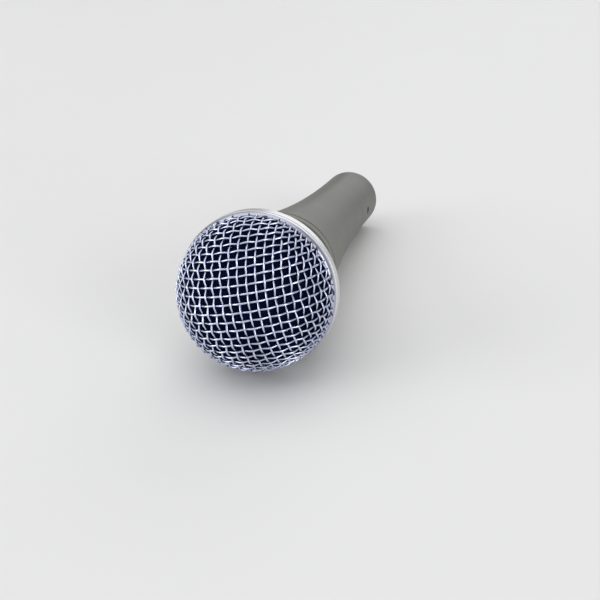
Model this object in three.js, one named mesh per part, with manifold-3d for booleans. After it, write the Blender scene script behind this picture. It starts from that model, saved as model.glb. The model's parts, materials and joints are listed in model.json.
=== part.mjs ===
// A handheld dynamic vocal microphone with a ball grille, as an assembly of separate pieces.
// It lies on a table: it rests on the grille's band and on the rim of its connector end.
// Millimetres. The part's frame has +Z up and -Y towards the ball, with its origin on the table under the
// middle of the object.
// In the "microphone" group the long axis is local +Z, from the connector's rim (0) to the ball's top.
// Names that end in BACK are the end of a piece nearer the connector, and FRONT the end nearer the ball.

import * as THREE from "three";
import { mergeVertices } from "three/addons/utils/BufferGeometryUtils.js";
import Module from "manifold-3d";

const wasm = await Module();
wasm.setup();

// ---------------------------------------------------------------- driving dimensions

const LENGTH = 162; // connector rim to the top of the ball
const BALL_R = 25.2; // outside of the wire mesh
const BAND_R = 25.5; // band round the ball's equator
const END_R = 11.5; // handle at the connector's rim
const HANDLE_TOP = 107; // where the grille's collar seats
const HANDLE_TOP_R = 18.3;
const FLARE = 2.4; // power of the handle's taper: slim grip, flaring to the grille

const GAP = 0.3; // between pieces that touch
const CHAMFER = 0.5;
const OUTER_SIDES = 32; // facets round an outside piece
const INNER_SIDES = 24; // facets round a piece inside
const PIN_SIDES = 12;
const CLEAR = 1; // how far a cutting tool runs past what it cuts

// Grille
const MESH_WALL = 1.2; // two crossing wires
const FOAM_WALL = 2;
const BALL_CENTRE = LENGTH - BALL_R;
const SKIRT_DEPTH = 34; // half length of the egg shape behind the equator
const BAND_FRONT = BALL_CENTRE + 0.8;
const BAND_BACK = BALL_CENTRE - 4.9;
const BAND_WALL = 1.4;
const COLLAR_H = 7.5;
const COLLAR_BACK = HANDLE_TOP + GAP;
const COLLAR_FRONT = COLLAR_BACK + COLLAR_H;
const COLLAR_FRONT_R = 19.5;

// Screw thread between the neck of the handle and the collar
const PITCH = 1.5;
const TURNS = 3.5;
const NECK_R = 16.3; // the neck's outside, and the centre line of the round thread
const NECK_H = 7;
const THREAD_R = 0.38;
const THREAD_PLAY = 0.22;
const THREAD_START = HANDLE_TOP + 0.9;
const THREAD_STEPS = 28; // per turn
const THREAD_SIDES = 6;

// Inside of the handle, from the connector end
const WALL = 2.2;
const SOCKET_R = 9.6;
const SOCKET_DEPTH = 22;
const SHOULDER_R = 8.2;
const SHOULDER_FRONT = 28;
const LEDGE_R = 10.6;
const LEDGE_H = 3;
const MOUNT_SEAT = 96;
const MOUNT_R = 13.5;
const LATCH_SLOT = { width: 4.2, depth: 1, back: 6, front: 9.5 };

// Connector
const INSERT_FACE = 15.5;
const PIN_R = 1.2;
const PIN_CIRCLE_R = 4.4;
const PIN_TIP = 2;
const PIN_ANGLES = { xlr_pin_1: 30, xlr_pin_2: 150, xlr_pin_3: 270 }; // degrees, 90 is up
const CUP_R = PIN_R + 0.4; // solder cup
const CUP_WALL = 0.8;
const CUP_H = 4;
const KEY_RIB = { width: 2, height: 1.6, length: 9 };
const SCREW_R = 1.25;
const SCREW_AT = 18.6;
const SCREW_BITE = 1.2; // how far the set screw reaches into the insert
const CONTACT = { width: 2.4, thickness: 0.5, length: 3.5 };

// Transformer and leads
const CORE_BACK = 36;
const CORE = { width: 13, length: 15, thickness: 5.5 };
const CORE_FRONT = CORE_BACK + CORE.length;
const LEG_W = 3.6; // centre leg
const BAR_W = 2; // outer bars
const WINDOW_W = (CORE.width - LEG_W) / 2 - BAR_W;
const SPOOL_WALL = 0.5;
const FLANGE_T = CORE.thickness + 5;
const WINDING_T = CORE.thickness + 4.4;
const POTTING_HOLE_R = 3.2;
const LEAD_R = 0.55;

// Capsule
const CAPSULE_R = 15.4;
const CAPSULE_WALL = 1.2;
const CAPSULE_BACK = 117.3;
const CAPSULE_TRAVEL = 1; // each way, on the rubber mount
const HOUSING_FRONT = 129.6;
const VENT_R = 2.5;
const PORT = { count: 8, width: 4.5, height: 3, at: CAPSULE_BACK + 4.6 };
const CHAMBER_R = 9.6;
const CHAMBER_WALL = 0.8;
const CHAMBER_BACK = 88;
const BOARD_T = 1.2;
const TURRET = { radius: 0.8, back: CHAMBER_BACK - 2, x: 4, sides: 8 };
const COVER_BACK = HOUSING_FRONT + GAP;
const COVER_FACE = 137.4;
const COVER_WALL = 1;
const COVER_FACE_R = 11.6;
const COVER_HOLES = { count: 6, radius: 1.6, circle: 6.2 };
const SCREEN = { radius: 11.2, thickness: 0.5 };

// Magnet and moving coil
const YOKE_R = 11;
const YOKE_BACK = CAPSULE_BACK + CAPSULE_WALL + GAP;
const YOKE_FLOOR = 1.8;
const YOKE_FRONT = YOKE_BACK + 9;
const MAGNET = { radius: 6.8, front: YOKE_BACK + 6.6 };
const FELT_T = 1.5;
const COIL = { inner: 8, outer: 8.6, height: 4.3 };
const COIL_PLAY = 0.4;
const DIAPHRAGM_R = 12.3;
const DIAPHRAGM_AT = 130.2;
const DOME_H = 3;
const ROLL_H = 1;
const FILM = 0.4;
const CLAMP = { back: HOUSING_FRONT - 1.2, front: HOUSING_FRONT + 1.4 };

// ---------------------------------------------------------------- materials

const finish = (color, roughness, metalness) =>
  new THREE.MeshStandardMaterial({ color, roughness, metalness });

const GREY_ENAMEL = finish(0x4b4c4a, 0.6, 0.2);
const BRIGHT_STEEL = finish(0xc9cbd6, 0.3, 1);
const DARK_FOAM = finish(0x10121c, 1, 0);
const BLACK_PLASTIC = finish(0x17171a, 0.5, 0);
const BLACK_RUBBER = finish(0x1c1c1c, 0.9, 0);
const SILVER_PLATE = finish(0xd8d6cc, 0.25, 1);
const SOFT_IRON = finish(0x8f9092, 0.45, 1);
const MAGNET_ALLOY = finish(0x5e6064, 0.4, 1);
const ALUMINIUM = finish(0xb5b7ba, 0.35, 1);
const COPPER = finish(0xb56a3a, 0.35, 1);
const CLEAR_FILM = finish(0xcfd6d8, 0.2, 0);
const FELT = finish(0x6b6a66, 1, 0);
const BOARD = finish(0x8a6a3c, 0.7, 0);
const RESIN = finish(0xc9b98a, 0.4, 0);
const RED_PVC = finish(0xa3252b, 0.5, 0);
const BLUE_PVC = finish(0x28478f, 0.5, 0);
const YELLOW_PVC = finish(0xc9a52a, 0.5, 0);
const GREEN_PVC = finish(0x2c7a41, 0.5, 0);

// ---------------------------------------------------------------- shape helpers

// A three.js geometry as a solid, and back.
function solid(geometry) {
  const bare = geometry.clone();
  bare.deleteAttribute("normal");
  bare.deleteAttribute("uv");
  const merged = mergeVertices(bare, 1e-4);
  const corners = [];
  const index = merged.index.array;
  for (let i = 0; i < index.length; i += 3) {
    const [a, b, c] = index.slice(i, i + 3);
    if (a !== b && b !== c && c !== a) corners.push(a, b, c);
  }
  return new wasm.Manifold(
    new wasm.Mesh({
      numProp: 3,
      vertProperties: new Float32Array(merged.attributes.position.array),
      triVerts: new Uint32Array(corners),
    }),
  );
}

function geometryOf(body) {
  const mesh = body.getMesh();
  const geometry = new THREE.BufferGeometry();
  geometry.setAttribute("position", new THREE.BufferAttribute(new Float32Array(mesh.vertProperties), 3));
  geometry.setIndex(new THREE.BufferAttribute(new Uint32Array(mesh.triVerts), 1));
  geometry.computeVertexNormals();
  return geometry;
}

const cut = (geometry, ...tools) =>
  geometryOf(tools.reduce((body, tool) => body.subtract(solid(tool)), solid(geometry)));

const join = (geometry, ...others) =>
  geometryOf(others.reduce((body, other) => body.add(solid(other)), solid(geometry)));

// Turns a profile of [radius, height] points round the long axis, with a flat facet underneath.
// The flats, not the corners, lie at the stated radius.
function turned(profile, sides = INNER_SIDES) {
  const grow = 1 / Math.cos(Math.PI / sides);
  const points = profile.map(([r, z]) => new THREE.Vector2(r * grow, z));
  return new THREE.LatheGeometry(points, sides, Math.PI / sides).rotateX(Math.PI / 2);
}

// A ring between two radii and two heights.
const ring = (inner, outer, back, front) =>
  turned([[inner, back], [outer, back], [outer, front], [inner, front], [inner, back]]);

// A disc or short rod on the long axis.
const disc = (radius, back, front, sides) =>
  turned([[0, back], [radius, back], [radius, front], [0, front]], sides);

const rod = (radius, back, front, x, y, sides = PIN_SIDES) =>
  disc(radius, back, front, sides).translate(x, y, 0);

const block = (width, height, back, front, x = 0, y = 0) =>
  new THREE.BoxGeometry(width, height, front - back).translate(x, y, (back + front) / 2);

// A round bar along a path.
function sweep(path, radius, steps, sides) {
  const corners = Array.from({ length: sides }, (_, i) => {
    const angle = (2 * Math.PI * i) / sides;
    return new THREE.Vector2(radius * Math.cos(angle), radius * Math.sin(angle));
  });
  return new THREE.ExtrudeGeometry(new THREE.Shape(corners), {
    steps,
    extrudePath: path,
    bevelEnabled: false,
  });
}

// An insulated lead through points.
const LEAD_SIDES = 8;

function lead(points, steps) {
  const path = new THREE.CatmullRomCurve3(points.map((point) => new THREE.Vector3(...point)));
  return sweep(path, LEAD_R, steps, LEAD_SIDES);
}

// Right-handed helix about the long axis.
class Helix extends THREE.Curve {
  constructor(radius, pitch, turns, start) {
    super();
    Object.assign(this, { radius, pitch, turns, start });
  }

  getPoint(t, target = new THREE.Vector3()) {
    const angle = 2 * Math.PI * this.turns * t;
    const height = this.start + this.pitch * this.turns * t;
    return target.set(this.radius * Math.cos(angle), this.radius * Math.sin(angle), height);
  }
}

const threadCoil = (radius, turns, start) =>
  sweep(new Helix(NECK_R, PITCH, turns, start), radius, Math.round(turns * THREAD_STEPS), THREAD_SIDES);

// Radius of the handle, and of the mesh behind the equator, at a height along the axis.
const handleRadius = (z) => END_R + (HANDLE_TOP_R - END_R) * (z / HANDLE_TOP) ** FLARE;

const skirtRadius = (z) => BALL_R * Math.sqrt(1 - ((BALL_CENTRE - z) / SKIRT_DEPTH) ** 2);

// Points of a curve between two heights.
function along(radiusAt, from, to, count) {
  return Array.from({ length: count + 1 }, (_, i) => {
    const z = from + ((to - from) * i) / count;
    return [radiusAt(z), z];
  });
}

// Points of an arc of the ball, from its foot height up to the axis.
function ballArc(radius, foot, count) {
  const start = Math.asin((foot - BALL_CENTRE) / radius);
  return Array.from({ length: count + 1 }, (_, i) => {
    const angle = start + ((Math.PI / 2 - start) * i) / count;
    return [i === count ? 0 : radius * Math.cos(angle), BALL_CENTRE + radius * Math.sin(angle)];
  });
}

// Repeats a piece round the axis.
const around = (count, make) =>
  Array.from({ length: count }, (_, i) => make().rotateZ((2 * Math.PI * i) / count));

// ---------------------------------------------------------------- handle and connector

// A rod that runs out sideways, along local +X, at the height of the set screw.
const sideRod = (radius, from, to) =>
  new THREE.CylinderGeometry(radius, radius, to - from, PIN_SIDES)
    .rotateZ(Math.PI / 2)
    .translate((from + to) / 2, 0, SCREW_AT);

const boreRadius = (z) => handleRadius(z) - WALL;

function handleShell() {
  const neckFront = HANDLE_TOP + NECK_H;
  const body = turned(
    [
      [SOCKET_R, 0],
      [END_R - CHAMFER, 0],
      [END_R, CHAMFER],
      ...along(handleRadius, 4, HANDLE_TOP - CHAMFER, 12),
      [HANDLE_TOP_R - CHAMFER, HANDLE_TOP],
      [NECK_R, HANDLE_TOP],
      [NECK_R, neckFront - CHAMFER],
      [NECK_R - CHAMFER, neckFront],
      [MOUNT_R, neckFront],
      [MOUNT_R, MOUNT_SEAT],
      [LEDGE_R, MOUNT_SEAT],
      [LEDGE_R, MOUNT_SEAT - LEDGE_H],
      ...along(boreRadius, MOUNT_SEAT - LEDGE_H - 1, SHOULDER_FRONT, 7),
      [SHOULDER_R, SHOULDER_FRONT],
      [SHOULDER_R, SOCKET_DEPTH],
      [SOCKET_R, SOCKET_DEPTH],
      [SOCKET_R, 0],
    ],
    OUTER_SIDES,
  );
  const { width, depth, back, front } = LATCH_SLOT;
  const latchSlot = block(width, 2 * depth, back, front, 0, SOCKET_R);
  const screwHole = sideRod(SCREW_R + GAP, SOCKET_R - CLEAR, handleRadius(SCREW_AT) + CLEAR);
  return cut(join(body, threadCoil(THREAD_R, TURNS, THREAD_START)), screwHole, latchSlot);
}

function pinPlace(name) {
  const angle = THREE.MathUtils.degToRad(PIN_ANGLES[name]);
  return [PIN_CIRCLE_R * Math.cos(angle), PIN_CIRCLE_R * Math.sin(angle)];
}

// Insulating disc that holds the pins, with a rib on top that keys the plug.
function xlrInsert() {
  const radius = SOCKET_R - GAP;
  const { width, height, length } = KEY_RIB;
  const body = disc(radius, INSERT_FACE, SOCKET_DEPTH - GAP);
  const ribY = radius - (height + GAP) / 2;
  const keyRib = block(width, height, INSERT_FACE - length, INSERT_FACE + CLEAR, 0, ribY);
  const pinHoles = Object.keys(PIN_ANGLES).map((name) =>
    rod(PIN_R + GAP, INSERT_FACE - CLEAR, SOCKET_DEPTH + CLEAR, ...pinPlace(name)),
  );
  const screwDimple = sideRod(SCREW_R + GAP, radius - SCREW_BITE, radius + CLEAR);
  return cut(join(body, keyRib), ...pinHoles, screwDimple);
}

// A pin with a rounded tip and a solder cup behind the insert.
function xlrPin(name) {
  const cupEnd = SOCKET_DEPTH + CUP_H;
  const cupFloor = SOCKET_DEPTH + CUP_H / 3;
  return turned(
    [
      [0, PIN_TIP],
      [PIN_R * 0.6, PIN_TIP + 0.2],
      [PIN_R, PIN_TIP + 1],
      [PIN_R, SOCKET_DEPTH],
      [CUP_R, SOCKET_DEPTH],
      [CUP_R, cupEnd],
      [CUP_R - CUP_WALL, cupEnd],
      [CUP_R - CUP_WALL, cupFloor],
      [0, cupFloor],
    ],
    PIN_SIDES,
  ).translate(...pinPlace(name), 0);
}

// Headless screw with a driver slot, just under the handle's surface.
function insertSetScrew() {
  const slot = { width: 0.6, depth: 0.5, length: 4 };
  const outer = handleRadius(SCREW_AT) - CHAMFER;
  const slotTool = new THREE.BoxGeometry(2 * slot.depth, slot.width, slot.length);
  return cut(sideRod(SCREW_R, SOCKET_R - SCREW_BITE, outer), slotTool.translate(outer, 0, SCREW_AT));
}

// Bent strip beside pin 1's solder cup that touches the metal of the handle.
function groundContact() {
  const { width, thickness, length } = CONTACT;
  const back = SOCKET_DEPTH + GAP;
  const inner = PIN_CIRCLE_R + CUP_R + GAP;
  const outer = SHOULDER_R - GAP;
  const foot = block(outer - inner, width, back, back + thickness, (inner + outer) / 2);
  const tab = block(thickness, width, back, back + length, outer - thickness / 2);
  return join(foot, tab).rotateZ(THREE.MathUtils.degToRad(PIN_ANGLES.xlr_pin_1));
}

// ---------------------------------------------------------------- transformer and leads

function transformerCore() {
  const windows = [-1, 1].map((side) =>
    block(
      WINDOW_W,
      CORE.thickness + 2 * CLEAR,
      CORE_BACK + BAR_W,
      CORE_FRONT - BAR_W,
      (side * (LEG_W + WINDOW_W)) / 2,
    ),
  );
  return cut(block(CORE.width, CORE.thickness, CORE_BACK, CORE_FRONT), ...windows);
}

const SPOOL_BACK = CORE_BACK + BAR_W + GAP;
const SPOOL_FRONT = CORE_FRONT - BAR_W - GAP;
const FLANGE_W = LEG_W + 2 * (WINDOW_W - GAP);

// Square spool on the centre leg.
function transformerBobbin() {
  const [holeW, holeT] = [LEG_W + 2 * GAP, CORE.thickness + 2 * GAP];
  const spool = join(
    block(holeW + 2 * SPOOL_WALL, holeT + 2 * SPOOL_WALL, SPOOL_BACK, SPOOL_FRONT),
    block(FLANGE_W, FLANGE_T, SPOOL_BACK, SPOOL_BACK + SPOOL_WALL),
    block(FLANGE_W, FLANGE_T, SPOOL_FRONT - SPOOL_WALL, SPOOL_FRONT),
  );
  return cut(spool, block(holeW, holeT, SPOOL_BACK - CLEAR, SPOOL_FRONT + CLEAR));
}

function transformerWinding() {
  const back = SPOOL_BACK + SPOOL_WALL + GAP;
  const front = SPOOL_FRONT - SPOOL_WALL - GAP;
  const spool = 2 * (GAP + SPOOL_WALL + GAP);
  const hole = block(LEG_W + spool, CORE.thickness + spool, back - CLEAR, front + CLEAR);
  return cut(block(FLANGE_W, WINDING_T, back, front), hole);
}

// Plug of set adhesive that holds the transformer in the bore.
const transformerPotting = () =>
  ring(POTTING_HOLE_R, boreRadius(SHOULDER_FRONT) - GAP, SHOULDER_FRONT + GAP, CORE_BACK - GAP);

// A lead from the transformer, through the hole in the potting, to a solder cup.
function connectorLead(name) {
  const [x, y] = pinPlace(name);
  const inHole = 0.42;
  const onWay = 0.7;
  const cupEnd = SOCKET_DEPTH + CUP_H;
  const points = [
    [x, y, cupEnd + GAP],
    [x, y, cupEnd + 1],
    [x * onWay, y * onWay, SHOULDER_FRONT - 0.4],
    [x * inHole, y * inHole, SHOULDER_FRONT + 2],
    [x * inHole, y * inHole, CORE_BACK - 2.5],
    [x * inHole, y * inHole, CORE_BACK - 0.4],
  ];
  return lead(points, 12);
}

// A lead from the spool's front flange, along the bottom of the bore, to a turret of the terminal board.
function capsuleLead(side) {
  const end = TURRET.back - CAPSULE_TRAVEL - 2 * GAP;
  const points = [
    [side * 2, -4.2, CORE_FRONT - BAR_W],
    [side * 2, -4.4, CORE_FRONT + 1],
    [side * 3.4, -7, CORE_FRONT + 9],
    [side * 2.6, -7.6, CORE_FRONT + 18],
    [side * 3.6, -4.5, end - 6],
    [side * TURRET.x, 0, end],
  ];
  return lead(points, 24);
}

// ---------------------------------------------------------------- capsule

// Rubber sleeve in the neck, with a flange that the capsule sits on.
function shockMount() {
  const inside = CHAMBER_R + GAP;
  const flangeR = CAPSULE_R - 0.4;
  const flangeBack = HANDLE_TOP + NECK_H + GAP;
  const flangeFront = CAPSULE_BACK - CAPSULE_TRAVEL - GAP;
  return turned([
    [inside, MOUNT_SEAT + GAP],
    [MOUNT_R - GAP, MOUNT_SEAT + GAP],
    [MOUNT_R - GAP, flangeBack],
    [flangeR, flangeBack],
    [flangeR, flangeFront],
    [inside, flangeFront],
    [inside, MOUNT_SEAT + GAP],
  ]);
}

// Air chamber behind the capsule, a tube that the terminal board closes.
function rearChamber() {
  const inside = CHAMBER_R - CHAMBER_WALL;
  const front = CAPSULE_BACK - GAP;
  return turned([
    [inside, CHAMBER_BACK],
    [CHAMBER_R, CHAMBER_BACK],
    [CHAMBER_R, front],
    [0, front],
    [0, front - CHAMBER_WALL],
    [inside, front - CHAMBER_WALL],
    [inside, CHAMBER_BACK],
  ]);
}

// Round board with a turret for each lead.
function terminalBoard() {
  const front = CHAMBER_BACK - GAP;
  const turrets = [-1, 1].map((side) =>
    rod(TURRET.radius, TURRET.back, front - GAP, side * TURRET.x, 0, TURRET.sides),
  );
  return join(disc(CHAMBER_R, front - BOARD_T, front), ...turrets);
}

function capsuleHousing() {
  const inside = CAPSULE_R - CAPSULE_WALL;
  const floor = CAPSULE_BACK + CAPSULE_WALL;
  const cup = turned(
    [
      [VENT_R, CAPSULE_BACK],
      [CAPSULE_R - CHAMFER, CAPSULE_BACK],
      [CAPSULE_R, CAPSULE_BACK + CHAMFER],
      [CAPSULE_R, HOUSING_FRONT],
      [inside, HOUSING_FRONT],
      [inside, floor],
      [VENT_R, floor],
      [VENT_R, CAPSULE_BACK],
    ],
    OUTER_SIDES,
  );
  const depth = 4 * CAPSULE_WALL;
  const ports = around(PORT.count, () =>
    new THREE.BoxGeometry(depth, PORT.width, PORT.height).translate(CAPSULE_R, 0, PORT.at),
  );
  return cut(cup, ...ports);
}

const feltRing = () =>
  ring(YOKE_R + GAP, CAPSULE_R - CAPSULE_WALL - GAP, YOKE_BACK, YOKE_BACK + FELT_T);

function magnetYoke() {
  const gapR = COIL.outer + COIL_PLAY;
  const floor = YOKE_BACK + YOKE_FLOOR;
  return turned([
    [0, YOKE_BACK],
    [YOKE_R, YOKE_BACK],
    [YOKE_R, YOKE_FRONT],
    [gapR, YOKE_FRONT],
    [gapR, floor],
    [0, floor],
  ]);
}

const magnetDisc = () => disc(MAGNET.radius, YOKE_BACK + YOKE_FLOOR + GAP, MAGNET.front);

const polePiece = () => disc(COIL.inner - COIL_PLAY, MAGNET.front + GAP, YOKE_FRONT);

// Ring that grips the rim of the diaphragm.
const diaphragmClamp = () =>
  ring(DIAPHRAGM_R + GAP, CAPSULE_R - CAPSULE_WALL - GAP, CLAMP.back, CLAMP.front);

// Front cover: a low crown with a ring of holes under the screen.
function resonatorCap() {
  const shoulder = HOUSING_FRONT + 4.4;
  const rimFront = COVER_FACE - 1;
  const inside = COVER_FACE - 2 * COVER_WALL;
  const cap = turned(
    [
      [CAPSULE_R - COVER_WALL, COVER_BACK],
      [CAPSULE_R, COVER_BACK],
      [CAPSULE_R, shoulder],
      [CAPSULE_R - 2.5, rimFront],
      [COVER_FACE_R, rimFront],
      [COVER_FACE_R, COVER_FACE],
      [0, COVER_FACE],
      [0, inside],
      [COVER_FACE_R - 2 * COVER_WALL, inside],
      [CAPSULE_R - COVER_WALL, shoulder],
      [CAPSULE_R - COVER_WALL, COVER_BACK],
    ],
    OUTER_SIDES,
  );
  const holes = around(COVER_HOLES.count, () =>
    rod(COVER_HOLES.radius, inside - CLEAR, COVER_FACE + CLEAR, COVER_HOLES.circle, 0),
  );
  return cut(cap, ...holes);
}

const capsuleScreen = () =>
  disc(SCREEN.radius, COVER_FACE + GAP, COVER_FACE + GAP + SCREEN.thickness);

// Film dome with a shallow rolled surround.
function diaphragm() {
  const count = 4;
  const dome = Array.from({ length: count + 1 }, (_, i) => {
    const angle = (i * Math.PI) / 2 / count;
    const radius = i === count ? 0 : COIL.outer * Math.cos(angle);
    return [radius, DIAPHRAGM_AT + DOME_H * Math.sin(angle)];
  });
  const roll = [(DIAPHRAGM_R + COIL.outer) / 2, DIAPHRAGM_AT + ROLL_H];
  const front = [[DIAPHRAGM_R, DIAPHRAGM_AT], roll, ...dome];
  const back = front.map(([r, z]) => [r, z - FILM]).reverse();
  return turned([...front, ...back, front[0]]);
}

function voiceCoil() {
  const front = DIAPHRAGM_AT - FILM - GAP;
  return ring(COIL.inner, COIL.outer, front - COIL.height, front);
}

// ---------------------------------------------------------------- grille

const DOME_FOOT = BAND_FRONT + GAP;
const SKIRT_BACK = COLLAR_FRONT + GAP;
const SKIRT_FRONT = BAND_BACK - GAP;
const FOAM_INSET = MESH_WALL + GAP;

// A cap of the ball between two radii.
function ballShell(outer, inner, count) {
  const outside = ballArc(outer, DOME_FOOT, count);
  const inside = ballArc(inner, DOME_FOOT, count).reverse();
  return turned([...outside, ...inside, outside[0]], OUTER_SIDES);
}

// A sleeve behind the equator, between two depths under the outside of the mesh.
function skirtShell(outerInset, innerInset, back, front, count) {
  const outside = along((z) => skirtRadius(z) - outerInset, back, front, count);
  const inside = along((z) => skirtRadius(z) - innerInset, front, back, count);
  return turned([...outside, ...inside, outside[0]], OUTER_SIDES);
}

const grilleDome = () => ballShell(BALL_R, BALL_R - MESH_WALL, 7);

const foamDome = () => ballShell(BALL_R - FOAM_INSET, BALL_R - FOAM_INSET - FOAM_WALL, 6);

const grilleSkirt = () => skirtShell(0, MESH_WALL, SKIRT_BACK, SKIRT_FRONT, 5);

const foamSkirt = () =>
  skirtShell(FOAM_INSET, FOAM_INSET + FOAM_WALL, SKIRT_BACK, BALL_CENTRE - GAP, 4);

function grilleBand() {
  const inside = BAND_R - BAND_WALL;
  const frontChamfer = 0.4;
  return turned(
    [
      [inside, BAND_BACK],
      [BAND_R - CHAMFER, BAND_BACK],
      [BAND_R, BAND_BACK + CHAMFER],
      [BAND_R, BAND_FRONT - frontChamfer],
      [BAND_R - frontChamfer, BAND_FRONT],
      [inside, BAND_FRONT],
      [inside, BAND_BACK],
    ],
    OUTER_SIDES,
  );
}

// Ring at the foot of the ball, with the thread cut inside.
function grilleCollar() {
  const bore = NECK_R + THREAD_PLAY;
  const body = turned(
    [
      [bore, COLLAR_BACK],
      [HANDLE_TOP_R, COLLAR_BACK],
      [COLLAR_FRONT_R, COLLAR_FRONT - CHAMFER],
      [COLLAR_FRONT_R - CHAMFER, COLLAR_FRONT],
      [bore, COLLAR_FRONT],
      [bore, COLLAR_BACK],
    ],
    OUTER_SIDES,
  );
  // The groove starts a turn lower and ends a turn higher than the thread, so it runs out of both faces.
  return cut(body, threadCoil(THREAD_R + THREAD_PLAY, TURNS + 2, THREAD_START - PITCH));
}

// ---------------------------------------------------------------- assembly

function piece(name, geometry, material) {
  const mesh = new THREE.Mesh(geometry, material);
  mesh.name = name;
  return mesh;
}

const handle = new THREE.Group().add(
  piece("handle_shell", handleShell(), GREY_ENAMEL),
  piece("xlr_insert", xlrInsert(), BLACK_PLASTIC),
  ...Object.keys(PIN_ANGLES).map((name) => piece(name, xlrPin(name), SILVER_PLATE)),
  piece("insert_set_screw", insertSetScrew(), BRIGHT_STEEL),
  piece("ground_contact", groundContact(), SILVER_PLATE),
  piece("transformer_core", transformerCore(), SOFT_IRON),
  piece("transformer_bobbin", transformerBobbin(), BLACK_PLASTIC),
  piece("transformer_winding", transformerWinding(), COPPER),
  piece("transformer_potting", transformerPotting(), RESIN),
  piece("lead_ground", connectorLead("xlr_pin_1"), GREEN_PVC),
  piece("lead_hot", connectorLead("xlr_pin_2"), RED_PVC),
  piece("lead_cold", connectorLead("xlr_pin_3"), BLUE_PVC),
  piece("capsule_lead_a", capsuleLead(-1), YELLOW_PVC),
  piece("capsule_lead_b", capsuleLead(1), GREEN_PVC),
  piece("shock_mount", shockMount(), BLACK_RUBBER),
);

const capsule = new THREE.Group().add(
  piece("capsule_housing", capsuleHousing(), BLACK_PLASTIC),
  piece("rear_chamber", rearChamber(), ALUMINIUM),
  piece("terminal_board", terminalBoard(), BOARD),
  piece("felt_ring", feltRing(), FELT),
  piece("magnet_yoke", magnetYoke(), SOFT_IRON),
  piece("magnet", magnetDisc(), MAGNET_ALLOY),
  piece("pole_piece", polePiece(), SOFT_IRON),
  piece("diaphragm_clamp", diaphragmClamp(), BLACK_PLASTIC),
  piece("resonator_cap", resonatorCap(), BLACK_PLASTIC),
  piece("capsule_screen", capsuleScreen(), BRIGHT_STEEL),
  piece("diaphragm", diaphragm(), CLEAR_FILM),
  piece("voice_coil", voiceCoil(), COPPER),
);

const grille = new THREE.Group().add(
  piece("grille_dome", grilleDome(), BRIGHT_STEEL),
  piece("grille_band", grilleBand(), BRIGHT_STEEL),
  piece("grille_skirt", grilleSkirt(), BRIGHT_STEEL),
  piece("grille_collar", grilleCollar(), GREY_ENAMEL),
  piece("foam_dome", foamDome(), DARK_FOAM),
  piece("foam_skirt", foamSkirt(), DARK_FOAM),
);

// Laid down, the band's back edge and the connector's rim touch the table.
const tilt = Math.atan2(BAND_R - END_R, BAND_BACK);
const microphone = new THREE.Group().add(handle, capsule, grille);
microphone.rotation.x = Math.PI / 2 - tilt;
microphone.updateMatrixWorld(true);
const box = new THREE.Box3().setFromObject(microphone, true);
microphone.position.set(0, -(box.min.y + box.max.y) / 2, -box.min.z);

const part = new THREE.Group().add(microphone);

export default part;
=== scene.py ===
"""Looks for the handheld dynamic microphone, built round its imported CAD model.

Lengths are in metres. Each piece is made in the microphone's own frame, where the long axis is local Z:
0 at the connector's rim, rising to the top of the ball. Local Y points up. As in the CAD model, names that
end in BACK are the end of a piece nearer the connector, and FRONT the end nearer the ball.
"""

import json
import math

import bmesh
import bpy
import numpy as np
from mathutils import Matrix, Vector, noise


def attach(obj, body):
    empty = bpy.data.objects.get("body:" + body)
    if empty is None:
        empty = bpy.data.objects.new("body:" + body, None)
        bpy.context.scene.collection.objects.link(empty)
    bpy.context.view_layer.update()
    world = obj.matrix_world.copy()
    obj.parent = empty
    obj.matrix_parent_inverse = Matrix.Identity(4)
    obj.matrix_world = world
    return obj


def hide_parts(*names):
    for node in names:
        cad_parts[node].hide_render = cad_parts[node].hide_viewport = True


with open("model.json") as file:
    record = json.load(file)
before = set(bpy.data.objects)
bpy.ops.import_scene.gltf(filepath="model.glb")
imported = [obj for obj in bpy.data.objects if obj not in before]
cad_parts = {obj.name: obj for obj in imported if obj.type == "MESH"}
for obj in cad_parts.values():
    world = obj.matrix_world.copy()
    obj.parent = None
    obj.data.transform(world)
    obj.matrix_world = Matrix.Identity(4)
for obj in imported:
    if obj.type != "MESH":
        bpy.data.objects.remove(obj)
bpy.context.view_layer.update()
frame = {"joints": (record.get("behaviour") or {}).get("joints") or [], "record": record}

MM = 0.001

# ---------------------------------------------------------------- driving dimensions, as in the CAD model

LENGTH = 162 * MM
BALL_R = 25.2 * MM
BAND_R = 25.5 * MM
END_R = 11.5 * MM
HANDLE_TOP = 107 * MM
HANDLE_TOP_R = 18.3 * MM
FLARE = 2.4
GAP = 0.3 * MM
CHAMFER = 0.5 * MM
CLEAR = 1 * MM

MESH_WALL = 1.2 * MM
FOAM_WALL = 2 * MM
BALL_CENTRE = LENGTH - BALL_R
SKIRT_DEPTH = 34 * MM
BAND_FRONT = BALL_CENTRE + 0.8 * MM
BAND_BACK = BALL_CENTRE - 4.9 * MM
BAND_WALL = 1.4 * MM
LIP_W, LIP_H = 1.25 * MM, 1.8 * MM
CREST_AT = BALL_CENTRE - 0.55 * MM  # where the band's lip is widest
LIP_FRONT = CREST_AT + LIP_H
GROOVE_BACK, GROOVE_FRONT, GROOVE_DEPTH = CREST_AT - 0.8 * MM, CREST_AT - 0.3 * MM, 0.45 * MM
COLLAR_BACK = HANDLE_TOP + GAP
COLLAR_FRONT = COLLAR_BACK + 7.5 * MM
COLLAR_FRONT_R = 19.5 * MM

PITCH = 1.5 * MM
TURNS = 3.5
NECK_R = 16.3 * MM
NECK_FRONT = HANDLE_TOP + 7 * MM
THREAD_H = 0.38 * MM
THREAD_PLAY = 0.22 * MM
THREAD_START = HANDLE_TOP + 0.9 * MM

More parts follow.
